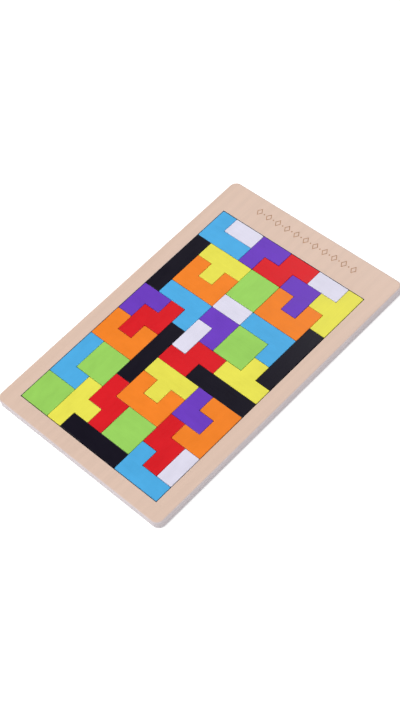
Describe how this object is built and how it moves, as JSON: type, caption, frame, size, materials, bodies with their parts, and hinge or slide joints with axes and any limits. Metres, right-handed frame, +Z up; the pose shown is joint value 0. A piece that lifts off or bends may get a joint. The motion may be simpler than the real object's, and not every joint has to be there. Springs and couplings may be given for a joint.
{
  "type": "tetromino puzzle",
  "caption": "Flat wooden tray with a square-cornered well that loose painted polyomino pieces fill flush, below a wide plain header band.",
  "frame": {"origin": "middle of the underside of the tray", "axes": "+Z up, +Y along the tray's length towards the wide header band, +X across its width"},
  "size_m": [0.1806, 0.2678, 0.008],
  "materials": {
    "tray_wood": "pale smooth-sanded basswood, clear matt",
    "base_wood": "pale plywood, sanded",
    "white_paint": "wood painted white, satin",
    "purple_paint": "wood painted purple, satin",
    "green_paint": "wood painted light green, satin",
    "blue_paint": "wood painted sky blue, satin",
    "yellow_paint": "wood painted yellow, satin",
    "red_paint": "wood painted red, satin",
    "black_paint": "wood painted black, satin",
    "orange_paint": "wood painted orange, satin"
  },
  "bodies": {
    "root": {"tray_base": "base_wood", "tray_frame": "tray_wood", "white_domino_1": "white_paint", "white_domino_2": "white_paint", "white_domino_3": "white_paint", "white_domino_4": "white_paint", "white_domino_5": "white_paint", "purple_corner_1": "purple_paint", "purple_corner_2": "purple_paint", "purple_corner_3": "purple_paint", "purple_corner_4": "purple_paint", "purple_corner_5": "purple_paint", "green_square_1": "green_paint", "green_square_2": "green_paint", "green_square_3": "green_paint", "green_square_4": "green_paint", "green_square_5": "green_paint", "blue_l_1": "blue_paint", "blue_l_2": "blue_paint", "blue_l_3": "blue_paint", "blue_l_4": "blue_paint", "blue_l_5": "blue_paint", "yellow_t_1": "yellow_paint", "yellow_t_2": "yellow_paint", "yellow_t_3": "yellow_paint", "yellow_t_4": "yellow_paint", "yellow_t_5": "yellow_paint", "red_s_1": "red_paint", "red_s_2": "red_paint", "red_s_3": "red_paint", "red_s_4": "red_paint", "red_s_5": "red_paint", "black_bar_1": "black_paint", "black_bar_2": "black_paint", "black_bar_3": "black_paint", "black_bar_4": "black_paint", "black_bar_5": "black_paint", "orange_u_1": "orange_paint", "orange_u_2": "orange_paint", "orange_u_3": "orange_paint", "orange_u_4": "orange_paint", "orange_u_5": "orange_paint"}
  },
  "joints": []
}
